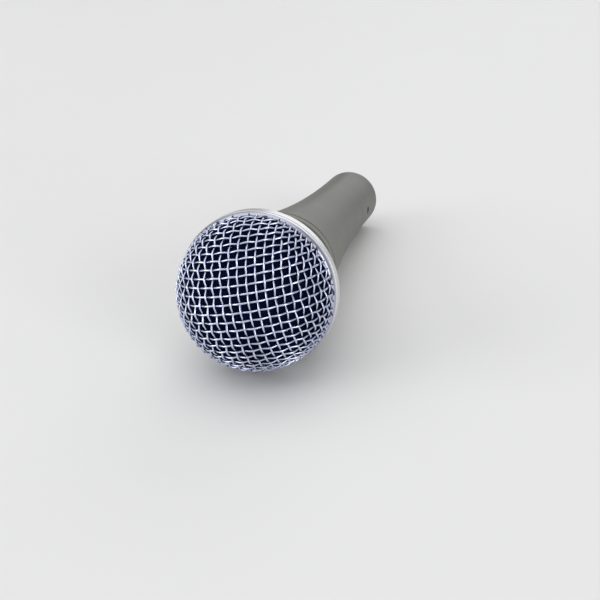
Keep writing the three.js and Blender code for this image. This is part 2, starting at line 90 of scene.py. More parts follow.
WALL = 2.2 * MM
SOCKET_R = 9.6 * MM
SOCKET_DEPTH = 22 * MM
SHOULDER_R = 8.2 * MM
SHOULDER_FRONT = 28 * MM
LEDGE_R = 10.6 * MM
LEDGE_H = 3 * MM
MOUNT_SEAT = 96 * MM
MOUNT_R = 13.5 * MM
LATCH_W = 4.2 * MM
LATCH_BACK = 6 * MM
LATCH_FRONT = 9.5 * MM

INSERT_FACE = 15.5 * MM
PIN_R = 1.2 * MM
PIN_CIRCLE_R = 4.4 * MM
PIN_TIP = 2 * MM
PIN_ANGLES = {1: 30, 2: 150, 3: 270}
CUP_R = PIN_R + 0.4 * MM
CUP_WALL = 0.8 * MM
CUP_H = 4 * MM
SCREW_R = 1.25 * MM
SCREW_AT = 18.6 * MM
SCREW_BITE = 1.2 * MM
CONTACT_W, CONTACT_T, CONTACT_H = 2.4 * MM, 0.5 * MM, 3.5 * MM

# Transformer and leads
CORE_BACK = 36 * MM
CORE_W, CORE_T, CORE_H = 13 * MM, 5.5 * MM, 15 * MM
CORE_FRONT = CORE_BACK + CORE_H
LEG_W = 3.6 * MM
BAR_W = 2 * MM
WINDOW_W = (CORE_W - LEG_W) / 2 - BAR_W
SPOOL_WALL = 0.5 * MM
SPOOL_BACK = CORE_BACK + BAR_W + GAP
SPOOL_FRONT = CORE_FRONT - BAR_W - GAP
FLANGE_W = LEG_W + 2 * (WINDOW_W - GAP)
FLANGE_T = CORE_T + 5 * MM
WINDING_T = CORE_T + 4.4 * MM
POTTING_HOLE_R = 3.2 * MM
LEAD_R = 0.55 * MM
STRANDS_R = 0.25 * MM
WINDING_WIRE = 0.3 * MM
COIL_WIRE = 0.2 * MM

# Capsule
CAPSULE_R = 15.4 * MM
CAPSULE_WALL = 1.2 * MM
CAPSULE_BACK = 117.3 * MM
CAPSULE_TRAVEL = 1 * MM
HOUSING_FRONT = 129.6 * MM
VENT_R = 2.5 * MM
PORTS, PORT_W, PORT_H, PORT_AT = 8, 4.5 * MM, 3 * MM, CAPSULE_BACK + 4.6 * MM
CHAMBER_R = 9.6 * MM
CHAMBER_WALL = 0.8 * MM
CHAMBER_BACK = 88 * MM
BOARD_T = 1.2 * MM
TURRET_R, TURRET_X, TURRET_BACK = 0.8 * MM, 4 * MM, CHAMBER_BACK - 2 * MM
COVER_FACE = 137.4 * MM
COVER_WALL = 1 * MM
COVER_FACE_R = 11.6 * MM
COVER_HOLES, COVER_HOLE_R, COVER_CIRCLE_R = 6, 1.6 * MM, 6.2 * MM
SCREEN_R, SCREEN_T = 11.2 * MM, 0.5 * MM

# Magnet and moving coil
YOKE_R = 11 * MM
YOKE_BACK = CAPSULE_BACK + CAPSULE_WALL + GAP
YOKE_FLOOR = YOKE_BACK + 1.8 * MM
YOKE_FRONT = YOKE_BACK + 9 * MM
MAGNET_R, MAGNET_FRONT = 6.8 * MM, YOKE_BACK + 6.6 * MM
FELT_T = 1.5 * MM
COIL_INNER, COIL_OUTER, COIL_H = 8 * MM, 8.6 * MM, 4.3 * MM
COIL_PLAY = 0.4 * MM
DIAPHRAGM_R = 12.3 * MM
DIAPHRAGM_AT = 130.2 * MM
DOME_H, ROLL_H, FILM = 3 * MM, 1 * MM, 0.15 * MM
COIL_FRONT = DIAPHRAGM_AT - 0.7 * MM
CLAMP_BACK, CLAMP_FRONT = HOUSING_FRONT - 1.2 * MM, HOUSING_FRONT + 1.4 * MM

# Woven wire
WIRE_R = 0.31 * MM
WEAVE_PITCH = 2.66 * MM
WEAVE_TURN = math.radians(12)
WEAVE_LEAN = 0.25 * WEAVE_PITCH  # how far the weave's middle lies above the top of the ball
STEPS_PER_CELL = 6
WIRE_SIDES = 8
CRIMP = (0.75 * WIRE_R, 1.25 * WIRE_R)  # how far a warp and a weft wire swing each way
WEAVE_DEPTH = CRIMP[1] + WIRE_R  # from the middle of the weave to its outside
SKIRT_R = BALL_R - 0.9 * MM  # outside of the rear half, which sits under the band
SKIRT_LENGTH = SKIRT_DEPTH - 1.9 * MM

SIDES = 192  # round a turned piece
ON_AXIS = 1e-9  # a smaller radius is a point of the axis

# ---------------------------------------------------------------- the microphone's own frame

joints = {joint["name"]: joint for joint in frame["joints"]}
AXIS = Vector(joints["grille_turn"]["axis"]).normalized()
ACROSS = Vector((1, 0, 0))
UP = AXIS.cross(ACROSS)
RIM = Vector(joints["grille_turn"]["pos_m"]) - BALL_CENTRE * AXIS
OWN = Matrix.Translation(RIM) @ Matrix((ACROSS, UP, AXIS)).transposed().to_4x4()

BODY_OF = {node: body for body, nodes in frame["record"]["behaviour"]["bodies"].items() for node in nodes}
SLOT_OF = {subpart["node"]: subpart["material_slot"] for subpart in frame["record"]["subparts"]}

# ---------------------------------------------------------------- camera


def add_camera():
    """A short telephoto view from the front, a little to one side and above, close to the ball."""
    azimuth, elevation = math.radians(14.8), math.radians(24.2)
    distance, lens, sensor = 339.7 * MM, 65.5, 36
    off_left, off_up = math.tan(math.radians(2.287)), math.tan(math.radians(0.42))
    aim_at = BALL_CENTRE + 0.4 * MM
    level = Vector((-math.sin(azimuth), math.cos(azimuth), 0))
    forward = level * math.cos(elevation) - Vector((0, 0, math.sin(elevation)))
    right = Vector((math.cos(azimuth), math.sin(azimuth), 0))
    up = right.cross(forward)
    towards_ball = (forward - right * off_left + up * off_up).normalized()
    data = bpy.data.cameras.new("camera")
    data.sensor_width = sensor
    data.lens = lens
    camera = bpy.data.objects.new("camera", data)
    turn = Matrix((right, up, -forward)).transposed().to_4x4()
    camera.matrix_world = Matrix.Translation(OWN @ Vector((0, 0, aim_at)) - distance * towards_ball) @ turn
    bpy.context.scene.collection.objects.link(camera)
    bpy.context.scene.camera = camera


# ---------------------------------------------------------------- materials


class Look:
    """A procedural material. Constant values sit on the shader's own sockets; textures drive the rest."""

    def __init__(self, name, **constants):
        self.material = bpy.data.materials.new(name)
        self.material.use_nodes = True
        self.tree = self.material.node_tree
        self.shader = self.tree.nodes["Principled BSDF"]
        self.where = self.node("ShaderNodeTexCoord", {}).outputs["Object"]
        for socket, value in constants.items():
            self.shader.inputs[socket.replace("_", " ")].default_value = value

    def node(self, kind, inputs, **settings):
        made = self.tree.nodes.new(kind)
        for setting, value in settings.items():
            setattr(made, setting, value)
        for socket, value in inputs.items():
            self.put(made.inputs[socket], value)
        return made

    def put(self, socket, value):
        """Links a texture to a socket, or sets a number or a colour on it."""
        if isinstance(value, bpy.types.NodeSocket):
            self.tree.links.new(value, socket)
        elif socket.type == "RGBA":
            socket.default_value = (*value, 1)
        else:
            socket.default_value = value

    def height(self):
        """Distance along the microphone from the connector's rim."""
        return self.node("ShaderNodeSeparateXYZ", {"Vector": self.where}).outputs["Z"]

    def depth_inside(self, radius, depth):
        """How far a point lies inside an egg of this radius and half length, about the ball's centre."""
        squeeze = radius / depth
        inputs = {"Vector": self.where, "Location": (0, 0, -BALL_CENTRE * squeeze), "Scale": (1, 1, squeeze)}
        rounded = self.node("ShaderNodeMapping", inputs).outputs["Vector"]
        length = self.node("ShaderNodeVectorMath", {0: rounded}, operation="LENGTH").outputs["Value"]
        return self.combine("SUBTRACT", radius, length)

    def combine(self, operation, first, second):
        return self.node("ShaderNodeMath", {0: first, 1: second}, operation=operation).outputs[0]

    def mottle(self, size, detail=3, squeeze=(1, 1, 1)):
        """Cloudy noise, 0 to 1, with lumps of about this size, squeezed along each local axis."""
        place = self.node("ShaderNodeMapping", {"Vector": self.where, "Scale": squeeze}).outputs["Vector"]
        inputs = {"Vector": place, "Scale": 1 / size, "Detail": detail}
        return self.node("ShaderNodeTexNoise", inputs).outputs["Fac"]

    def pores(self, size):
        """Distance to the nearest cell centre, about 0 to 1."""
        inputs = {"Vector": self.where, "Scale": 1 / size}
        return self.node("ShaderNodeTexVoronoi", inputs).outputs["Distance"]

    def ridges(self, size):
        """Even ridges across local Y, 0 to 1."""
        size_at_scale_1 = 1 / 3.18
        inputs = {"Vector": self.where, "Scale": size_at_scale_1 / size}
        return self.node("ShaderNodeTexWave", inputs, bands_direction="Y").outputs["Fac"]

    def span(self, factor, start, end, low=0.0, high=1.0):
        """Maps a factor from one span to another, held at the ends."""
        inputs = {"Value": factor, "From Min": start, "From Max": end, "To Min": low, "To Max": high}
        return self.node("ShaderNodeMapRange", inputs).outputs["Result"]

    def mix(self, factor, first, second):
        """A colour between two colours; each may be a colour or another texture."""
        mixer = self.node("ShaderNodeMix", {}, data_type="RGBA")
        self.put(mixer.inputs["Factor"], factor)
        self.put(mixer.inputs[6], first)
        self.put(mixer.inputs[7], second)
        return mixer.outputs[2]

    def colour(self, value):
        self.put(self.shader.inputs["Base Color"], value)

    def metallic(self, value):
        self.put(self.shader.inputs["Metallic"], value)

    def roughness(self, texture, smooth, rough, start=0.3, end=0.7):
        """Roughness that follows a texture, between two of its values."""
        self.put(self.shader.inputs["Roughness"], self.span(texture, start, end, smooth, rough))

    def bump(self, height, depth):
        """Raises the surface by up to this depth, on top of any bump before it."""
        inputs = {"Height": height, "Distance": depth, "Strength": 1.0}
        before = self.shader.inputs["Normal"].links
        if before:
            inputs["Normal"] = before[0].from_socket
        self.put(self.shader.inputs["Normal"], self.node("ShaderNodeBump", inputs).outputs["Normal"])


def enamel():
    """Satin charcoal enamel over zinc, with a fine orange peel and the metal showing at the rim."""
    look = Look("charcoal_enamel")
    paint = look.mix(look.mottle(9 * MM), (0.086, 0.086, 0.07), (0.095, 0.095, 0.078))
    fleck = look.span(look.mottle(0.22 * MM, 1), 0.58, 0.72)
    paint = look.mix(fleck, paint, (0.085, 0.085, 0.085))
    edge = look.span(look.height(), 0.6 * MM, 0.0)
    wear = look.span(look.combine("MULTIPLY", edge, look.mottle(1.1 * MM, 4)), 0.6, 0.67)
    look.colour(look.mix(wear, paint, (0.34, 0.34, 0.35)))
    look.metallic(look.span(wear, 0, 1, 0, 0.9))
    look.roughness(look.mottle(12 * MM), 0.41, 0.45)
    look.bump(look.mottle(0.35 * MM, 1), 0.003 * MM)
    return look


def plated_wire(name, radius, depth):
    """Bright, bluish wire woven on an egg, with a patchy rubbed tone, and painted shade on the wires' sides,
    deep in the weave and next to the band.
    """
    look = Look(name, Metallic=1.0)
    under = look.depth_inside(radius, depth)
    rubbed = look.mix(look.mottle(6 * MM), (0.72, 0.77, 0.96), (0.6, 0.64, 0.82))
    # painted shade: the wire darkens with its depth below the crests, on its sides and where it dips under a
    # crossing wire
    side = look.mix(look.span(under, 1.4 * WIRE_R, 3 * WIRE_R), rubbed, (0.34, 0.38, 0.5))
    # painted shade next to the band, just in front of its lip and just behind its back edge
    shade_before_band = look.span(look.height(), LIP_FRONT + 1.3 * MM, LIP_FRONT + 0.5 * MM)
    shade_behind_band = look.span(look.height(), BAND_BACK - 1 * MM, BAND_BACK - 0.2 * MM, 0, 5 * WIRE_R)
    painted_shade_by_band = look.combine("MULTIPLY", shade_before_band, shade_behind_band)
    painted_shade_depth = look.combine("MAXIMUM", under, painted_shade_by_band)
    # painted shade: near black where a wire lies deep in the weave or beside the band
    look.colour(look.mix(look.span(painted_shade_depth, 3 * WIRE_R, 5 * WIRE_R), side, (0.08, 0.09, 0.15)))
    look.roughness(look.mottle(0.5 * MM), 0.16, 0.28)
    look.bump(look.mottle(0.12 * MM, 2), 0.006 * MM)
    return look


def band_steel():
    """Plated steel, brushed round the microphone, with painted shade in the band's groove and on the front of
    its lip, and a painted highlight along the lip's crest.
    """
    look = Look("satin_steel", Metallic=1.0)
    brushing = look.mottle(1 * MM, 4, squeeze=(0.05, 0.05, 16))
    steel = look.mix(look.mottle(5 * MM), (0.72, 0.72, 0.73), (0.65, 0.65, 0.66))
    for start, blend, painted_light_tint in (
        # painted shade in the groove
        (GROOVE_BACK, 0.1 * MM, (0.16, 0.16, 0.18)),
        # painted highlight along the lip's crest
        (GROOVE_FRONT, 0.15 * MM, (0.93, 0.93, 0.97)),
        # painted shade on the lip's front face
        (CREST_AT + 0.1 * MM, 0.9 * MM, (0.46, 0.47, 0.57)),
    ):
        steel = look.mix(look.span(look.height(), start, start + blend), steel, painted_light_tint)
    look.colour(steel)
    look.roughness(brushing, 0.24, 0.4)
    look.bump(brushing, 0.012 * MM)
    return look


def foam():
    """Open-cell foam, nearly black with a blue cast."""
    look = Look("open_foam", Roughness=1.0, Specular_IOR_Level=0.05)
    hollow = look.span(look.pores(0.5 * MM), 0.1, 0.6)
    # painted shade: the foam is darker in the middles of its pores, where the bump sinks, than on their rims
    look.colour(look.mix(hollow, (0.001, 0.002, 0.012), (0.003, 0.006, 0.03)))
    look.bump(hollow, 0.25 * MM)
    return look


def mottled(name, light, dark, lump, roughness, grain, depth, **constants):
    """A finish of slightly uneven colour and gloss, with a fine grain."""
    look = Look(name, **constants)
    look.colour(look.mix(look.mottle(lump), light, dark))
    look.roughness(look.mottle(lump / 2), *roughness)
    look.bump(look.mottle(grain, 2), depth)
    return look


def black_plastic():
    """Dark moulded plastic."""
    light, dark = (0.012, 0.012, 0.012), (0.02, 0.02, 0.02)
    return mottled("moulded_plastic", light, dark, 3 * MM, (0.38, 0.52), 0.1 * MM, 0.006 * MM)


def silver_plate():
    """Soft warm silver, rubbed brighter and scored along the microphone by the plug."""
    look = Look("silver_plate", Metallic=1.0)
    rub = look.mottle(0.3 * MM, 3, squeeze=(6, 6, 0.3))
    look.colour(look.mix(rub, (0.8, 0.78, 0.72), (0.68, 0.66, 0.6)))
    look.roughness(rub, 0.18, 0.36)
    look.bump(rub, 0.004 * MM)
    return look


def zinc_steel():
    """Steel with a thin zinc coat."""
    light, dark = (0.55, 0.55, 0.52), (0.4, 0.4, 0.38)
    return mottled("zinc_steel", light, dark, 0.6 * MM, (0.3, 0.5), 0.1 * MM, 0.006 * MM, Metallic=1.0)


def soft_iron():
    """Turned iron: fine tool marks round the axis, and a grey bloom."""
    light, dark = (0.42, 0.41, 0.4), (0.27, 0.27, 0.28)
    look = mottled("soft_iron", light, dark, 2 * MM, (0.34, 0.55), 0.2 * MM, 0.01 * MM, Metallic=1.0)
    look.bump(look.mottle(1 * MM, 3, squeeze=(0.2, 0.2, 14)), 0.02 * MM)
    return look


def stamped_iron():
    """Thin iron plates pressed together, with a dark line of varnish between each two."""
    light, dark, varnish = (0.36, 0.35, 0.34), (0.25, 0.25, 0.26), (0.05, 0.05, 0.05)
    look = mottled("stamped_iron", light, dark, 1.5 * MM, (0.4, 0.6), 0.2 * MM, 0.01 * MM, Metallic=0.9)
    plates = look.ridges(0.35 * MM)
    look.colour(look.mix(look.span(plates, 0.0, 0.25), varnish, look.mix(plates, dark, light)))
    look.bump(plates, 0.05 * MM)
    return look


def magnet_alloy():
    """Cast magnet, dark and close-grained."""
    light, dark = (0.3, 0.29, 0.28), (0.2, 0.2, 0.2)
    return mottled("magnet_alloy", light, dark, 1 * MM, (0.25, 0.45), 0.15 * MM, 0.008 * MM, Metallic=1.0)


def copper():
    """Copper wire under clear enamel."""
    light, dark = (0.72, 0.3, 0.13), (0.5, 0.18, 0.07)
    clear = {"Metallic": 0.9, "Coat_Weight": 0.5}
    return mottled("copper_wire", light, dark, 0.8 * MM, (0.2, 0.35), 0.1 * MM, 0.004 * MM, **clear)


def resin():
    """Set hot-melt adhesive: waxy amber, clouded, with a wavy skin."""
    light, dark = (0.62, 0.5, 0.28), (0.45, 0.34, 0.16)
    look = mottled("resin", light, dark, 4 * MM, (0.2, 0.38), 0.4 * MM, 0.02 * MM, Subsurface_Weight=0.3)
    look.bump(look.mottle(2 * MM), 0.15 * MM)
    return look


def pvc(name, light):
    """Soft extruded insulation."""
    dark = [0.7 * part for part in light]
    return mottled(name, light, dark, 1.2 * MM, (0.32, 0.5), 0.15 * MM, 0.01 * MM)


def rubber():
    """Moulded rubber with a dusty bloom."""
    light, dark = (0.02, 0.02, 0.02), (0.034, 0.033, 0.032)
    return mottled("rubber", light, dark, 3 * MM, (0.7, 0.9), 0.2 * MM, 0.015 * MM)


def aluminium():
    """Drawn aluminium tube with marks along it."""
    light, dark = (0.78, 0.78, 0.79), (0.66, 0.66, 0.68)
    look = mottled("aluminium", light, dark, 4 * MM, (0.28, 0.42), 0.2 * MM, 0.004 * MM, Metallic=1.0)
    look.bump(look.mottle(0.4 * MM, 3, squeeze=(3, 3, 0.08)), 0.01 * MM)
    return look


def circuit_board():
    """Brown phenolic board with paper flecks; the turret heads behind it are tinned."""
    look = Look("circuit_board")
    flecks = look.mottle(0.4 * MM, 4, squeeze=(1, 4, 1))
    tinned = look.span(look.height(), CHAMBER_BACK - GAP - BOARD_T, TURRET_BACK + 0.2 * MM)
    board = look.mix(flecks, (0.34, 0.19, 0.07), (0.22, 0.11, 0.04))
    look.colour(look.mix(tinned, board, (0.7, 0.7, 0.68)))
    look.metallic(tinned)
    look.roughness(flecks, 0.35, 0.6)
    look.bump(flecks, 0.02 * MM)
    return look


def felt():
    """Pressed wool with loose fibres."""
    look = Look("felt", Sheen_Weight=0.4)
    fibres = look.mottle(0.18 * MM, 6, squeeze=(1, 1, 2))
    look.colour(look.mix(fibres, (0.2, 0.19, 0.17), (0.09, 0.085, 0.08)))
    look.roughness(fibres, 0.85, 1.0, 0.2, 0.8)
    look.bump(fibres, 0.2 * MM)
    return look


def film():
    """Thin polyester film, nearly clear, with faint press marks."""
    look = Look("film", IOR=1.5, Transmission_Weight=0.75)
    look.colour(look.mix(look.mottle(2 * MM), (0.8, 0.84, 0.84), (0.68, 0.73, 0.74)))
    look.roughness(look.mottle(1 * MM), 0.08, 0.2)
    look.bump(look.mottle(0.5 * MM), 0.01 * MM)
    return look


def pale_table():
    """Plain matt white table."""
    look = Look("pale_table", Specular_IOR_Level=0.2)
    look.colour(look.mix(look.mottle(0.3), (0.81, 0.81, 0.8), (0.79, 0.79, 0.78)))
    look.roughness(look.mottle(0.05), 0.6, 0.7)
    return look


# ---------------------------------------------------------------- mesh helpers


def shape(name, points, faces):
    """A mesh object placed by the microphone's own frame, its faces turned outwards."""
    mesh = bpy.data.meshes.new(name)
    mesh.from_pydata([tuple(point) for point in points], [], faces)
    made = bmesh.new()
    made.from_mesh(mesh)
    bmesh.ops.recalc_face_normals(made, faces=made.faces)
    made.to_mesh(mesh)
    made.free()
    thing = bpy.data.objects.new(name, mesh)
    bpy.context.scene.collection.objects.link(thing)
    thing.matrix_world = OWN
    return thing


def carve(thing, tool, operation="DIFFERENCE"):
    """Cuts a tool out of a piece, or joins it on, and uses the tool up."""
    modifier = thing.modifiers.new("carve", "BOOLEAN")
    modifier.operation = operation
    modifier.solver = "EXACT"
    modifier.object = tool
    graph = bpy.context.evaluated_depsgraph_get()
    carved = bpy.data.meshes.new_from_object(thing.evaluated_get(graph))
    thing.modifiers.clear()
    thing.data = carved
    bpy.data.objects.remove(tool)


def dress(thing, node, slot=None, look=None, smooth_below=35):
    """Finishes a piece that stands for a CAD node: on the node's body, in the node's finish."""
    slot = slot or SLOT_OF[node]
    thing.data.materials.clear()
    thing.data.materials.append((look or finishes[slot]).material)
    thing.data.shade_smooth()
    thing.data.set_sharp_from_angle(angle=math.radians(smooth_below))
    weighted = thing.modifiers.new("weighted_normals", "WEIGHTED_NORMAL")
    weighted.keep_sharp = True
    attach(thing, BODY_OF[node])
    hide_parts(node)


def eased(profile, radius, steps=3):
    """Rounds the corners of a closed profile of (radius, height) points, where the profile turns sharply."""
    corners = [np.array(point, float) for point in profile]
    out = []
    for i, corner in enumerate(corners):
        back, ahead = corners[i - 1] - corner, corners[(i + 1) % len(corners)] - corner
        back_length, ahead_length = np.linalg.norm(back), np.linalg.norm(ahead)
        straightness = -np.dot(back, ahead) / (back_length * ahead_length)
        if corner[0] < ON_AXIS or straightness > 0.9:
            out.append(tuple(corner))
            continue
        reach = min(radius, 0.45 * back_length, 0.45 * ahead_length)
        start, end = corner + back * reach / back_length, corner + ahead * reach / ahead_length
        for t in np.linspace(0, 1, steps + 1):
            out.append(tuple((1 - t) ** 2 * start + 2 * t * (1 - t) * corner + t**2 * end))
    return out


def turned(name, profile, sides=SIDES, swell=None):
    """A closed profile of (radius, height) points turned round the long axis.

    swell gives extra radius at each (radius, height, angle), such as a thread.
    """
    points, rows, faces = [], [], []
    for radius, height in profile:
        if radius < ON_AXIS:
            rows.append([len(points)] * sides)
            points.append((0, 0, height))
            continue
        rows.append(range(len(points), len(points) + sides))
        for side in range(sides):
            angle = 2 * math.pi * side / sides
            r = radius + (swell(radius, height, angle) if swell else 0)
            points.append((r * math.cos(angle), r * math.sin(angle), height))
    for low, high in zip(rows, rows[1:] + rows[:1]):
        for i in range(sides):
            j = (i + 1) % sides
            face = list(dict.fromkeys((low[i], low[j], high[j], high[i])))
            if len(face) > 2:
                faces.append(face)
    return shape(name, points, faces)


def hoop(name, inner, outer, back, front, easing=0.15 * MM, swell=None, sides=SIDES):
    """A ring with rounded edges, or a disc or a rod where the inner radius is 0."""
    corners = [(inner, back), (outer, back), (outer, front), (inner, front)]
    return turned(name, eased(corners, easing) if easing else corners, sides, swell)


def block(name, size, middle, easing=0.0, turn=0.0):
    """A box with eased edges, turned about the long axis, to keep or to cut with."""
    made = bmesh.new()
    bmesh.ops.create_cube(made, size=1, matrix=Matrix.Diagonal((*size, 1)))
    if easing:
        bmesh.ops.bevel(made, geom=made.edges[:], offset=easing, segments=2, affect="EDGES")
    made.transform(Matrix.Rotation(turn, 4, "Z") @ Matrix.Translation(middle))
    points = [vertex.co[:] for vertex in made.verts]
    faces = [[vertex.index for vertex in face.verts] for face in made.faces]
    made.free()
    return shape(name, points, faces)


def move(thing, matrix):
    """Moves a piece's mesh within the microphone's own frame."""
    thing.data.transform(matrix)
    return thing


def arc(middle, height, across, along, start, end, count):
    """Points of part of an ellipse about (middle, height), with angles in degrees from straight out."""
    for step in range(count + 1):
        angle = math.radians(start + (end - start) * step / count)
        yield middle + across * math.cos(angle), height + along * math.sin(angle)


def climb(radius_at, start, end, step):
    """Points of a curve between two heights, about one step apart."""
    count = max(1, round(abs(end - start) / step))
    for i in range(count + 1):
        height = start + (end - start) * i / count
        yield radius_at(height), height


def handle_radius(z):
    return END_R + (HANDLE_TOP_R - END_R) * (z / HANDLE_TOP) ** FLARE


def skirt_radius(z):
    return SKIRT_R * math.sqrt(1 - ((BALL_CENTRE - z) / SKIRT_LENGTH) ** 2)


# ---------------------------------------------------------------- woven wire


class Egg:
    """Half an ellipsoid of revolution about its own Z, which the wires are pressed onto."""

    def __init__(self, radius, depth):
        self.radius, self.depth = radius, depth
        self.squares = np.array([radius**2, radius**2, depth**2])

    def level(self, p):
        return np.sum(p**2 / self.squares) - 1

    def slope(self, p):
        return 2 * p / self.squares

    def normal(self, p):
        out = p / self.squares
        return out / np.linalg.norm(out, axis=-1, keepdims=True)

    def meridian(self, direction, count, pitch):
        """Knots one pitch apart from the pole, along the meridian that leaves it in a direction."""
        samples = 4001
        angles = np.linspace(0, math.pi, samples)
        flat = np.stack([self.radius * np.sin(angles), self.depth * np.cos(angles)], 1)
        arcs = np.concatenate([[0], np.cumsum(np.linalg.norm(np.diff(flat, axis=0), axis=1))])
        at = np.interp(np.arange(count + 1) * pitch, arcs, angles)
        out = np.outer(self.radius * np.sin(at), [direction[0], direction[1], 0])
        out[:, 2] = self.depth * np.cos(at)
        return out


def far_knot(egg, near, left, right, pitch):
    """The fourth corner of a cell whose sides are all one pitch long, on the egg, by Newton's method."""
    rounds = 12
    p = left + right - near
    for _ in range(rounds):
        wrong = np.array([
            egg.level(p) * egg.radius**2,
            np.dot(p - left, p - left) - pitch**2,
            np.dot(p - right, p - right) - pitch**2,
        ])
        slopes = np.array([egg.slope(p) * egg.radius**2, 2 * (p - left), 2 * (p - right)])
        p = p - np.linalg.lstsq(slopes, wrong, rcond=None)[0]
    return p


def weave_quarter(egg, pitch, u_way, v_way, reach):
    """Knots of one quarter of the net, keyed by the steps taken along its two ways."""
    lowest = -2.2 * pitch
    knots = {(i, 0): p for i, p in enumerate(egg.meridian(u_way, reach, pitch))}
    knots.update({(0, j): p for j, p in enumerate(egg.meridian(v_way, reach, pitch))})
    for i in range(1, reach + 1):
        for j in range(1, reach + 1):
            corners = [knots.get(key) for key in ((i - 1, j - 1), (i - 1, j), (i, j - 1))]
            if any(corner is None for corner in corners):
                continue
            p = far_knot(egg, *corners, pitch)
            landed = abs(egg.level(p)) < 1e-6
            folded = np.linalg.norm(p - corners[0]) < 0.25 * pitch
            if landed and not folded and p[2] > lowest:
                knots[i, j] = p
    return knots


def weave_knots(egg, pitch, turn, reach):
    """Knots of a net of square cells laid over the egg from its pole, keyed by warp and weft."""
    knots = {}
    for sign_u in (1, -1):
        for sign_v in (1, -1):
            u_way = np.array([math.cos(turn), math.sin(turn)]) * sign_u
            v_way = np.array([-math.sin(turn), math.cos(turn)]) * sign_v
            quarter = weave_quarter(egg, pitch, u_way, v_way, reach)
            knots.update({(sign_u * i, sign_v * j): p for (i, j), p in quarter.items()})
    return knots


def wire_runs(knots, along):
    """The knots of each warp or weft wire in order, as unbroken runs."""
    rows = {}
    for key in knots:
        rows.setdefault(key[1 - along], []).append(key)
    for row in rows.values():
        run = []
        for key in sorted(row, key=lambda key: key[along]):
            if run and key[along] != run[-1][along] + 1:
                yield run
                run = []
            run.append(key)
        yield run


def smooth_path(points, steps):
    """A Catmull-Rom curve through points, with this many steps between each two."""
    points = np.asarray(points)
    ends = np.concatenate([[2 * points[0] - points[1]], points, [2 * points[-1] - points[-2]]])
    t = np.arange(steps)[:, None] / steps
    out = []
    for a, b, c, d in zip(ends, ends[1:], ends[2:], ends[3:]):
        out.append(0.5 * (2 * b + (c - a) * t + (2 * a - 5 * b + 4 * c - d) * t**2
                          + (3 * b - a - 3 * c + d) * t**3))
    return np.concatenate(out + [points[-1:]])


def kept_stretches(path, keep):
    """The unbroken stretches of a path where keep says yes."""
    good = [bool(flag) for flag in keep(path)] + [False]
    start = None
    for i, flag in enumerate(good):
        if flag and start is None:
            start = i
        if not flag and start is not None:
            if i - start > 2:
                yield path[start:i]
            start = None


def tube(path, normals, radius, sides):
    """Points and faces of a closed round bar along a path."""
    tangents = np.gradient(path, axis=0)
    tangents /= np.linalg.norm(tangents, axis=1, keepdims=True)
    sideways = np.cross(tangents, normals)
    sideways /= np.linalg.norm(sideways, axis=1, keepdims=True)
    outwards = np.cross(sideways, tangents)
    angles = 2 * math.pi * np.arange(sides) / sides
    rings = (path[:, None] + radius * (np.cos(angles)[:, None] * outwards[:, None]
                                       + np.sin(angles)[:, None] * sideways[:, None]))
    faces = [list(range(sides)), [len(path) * sides - 1 - i for i in range(sides)]]
    for row in range(len(path) - 1):
        for i in range(sides):
            j = (i + 1) % sides
            low, high = row * sides, (row + 1) * sides
            faces.append([low + i, low + j, high + j, high + i])
    return rings.reshape(-1, 3), faces


def bars(name, runs, radius, sides):
    """One piece of many round bars, each given as a path and the normals along it."""
    points, faces = [], []
    for path, normals in runs:
        ring_points, ring_faces = tube(path, normals, radius, sides)
        faces += [[len(points) + corner for corner in face] for face in ring_faces]
        points += list(ring_points)
    return shape(name, points, faces)


def leaning(knots, radius):
    """The knots of a round egg, slid up over it so that the weave's middle is off the top."""
    lean = np.array(Matrix.Rotation(-WEAVE_LEAN / radius, 3, "X"))
    return {key: lean @ p for key, p in knots.items()}


def weave(name, egg, reach, keep):
    """Every wire of a woven half of the ball, in the egg's own frame, where keep says yes."""
    knots = weave_knots(egg, WEAVE_PITCH, WEAVE_TURN, reach)
    if egg.radius == egg.depth:
        knots = leaning(knots, egg.radius)
    wires = []
    for along in (0, 1):
        for run in wire_runs(knots, along):
            if len(run) < 3:
                continue
            line = np.array([knots[key] for key in run])
            over = np.array([(-1) ** (key[0] + key[1] + along) for key in run])
            crimped = line + egg.normal(line) * over[:, None] * CRIMP[along]
            stretches = kept_stretches(smooth_path(crimped, STEPS_PER_CELL), keep)
            wires += [(path, egg.normal(path)) for path in stretches]
    return bars(name, wires, WIRE_R, WIRE_SIDES)


def wire_dome():
    """Front half of the ball, its wires' ends under the band."""
    egg = Egg(BALL_R - WEAVE_DEPTH, BALL_R - WEAVE_DEPTH)
    foot = BAND_FRONT - BALL_CENTRE - 0.6 * MM
    thing = weave("wire_dome", egg, 20, lambda path: path[:, 2] > foot)
    dress(move(thing, Matrix.Translation((0, 0, BALL_CENTRE))), "grille_dome", smooth_below=60)


def wire_skirt():
    """Rear half of the ball, its wires' ends under the band and the collar."""
    egg = Egg(SKIRT_R - WEAVE_DEPTH, SKIRT_LENGTH - WEAVE_DEPTH)
    buried = 0.8 * MM
    nearest, furthest = BALL_CENTRE - BAND_BACK - buried, BALL_CENTRE - COLLAR_FRONT + buried
    thing = weave("wire_skirt", egg, 24, lambda path: (path[:, 2] > nearest) & (path[:, 2] < furthest))
    move(thing, Matrix.Translation((0, 0, BALL_CENTRE)) @ Matrix.Rotation(math.pi, 4, "Y"))
    look = plated_wire("plated_wire_behind", SKIRT_R, SKIRT_LENGTH)
    dress(thing, "grille_skirt", look=look, smooth_below=60)


# ---------------------------------------------------------------- grille


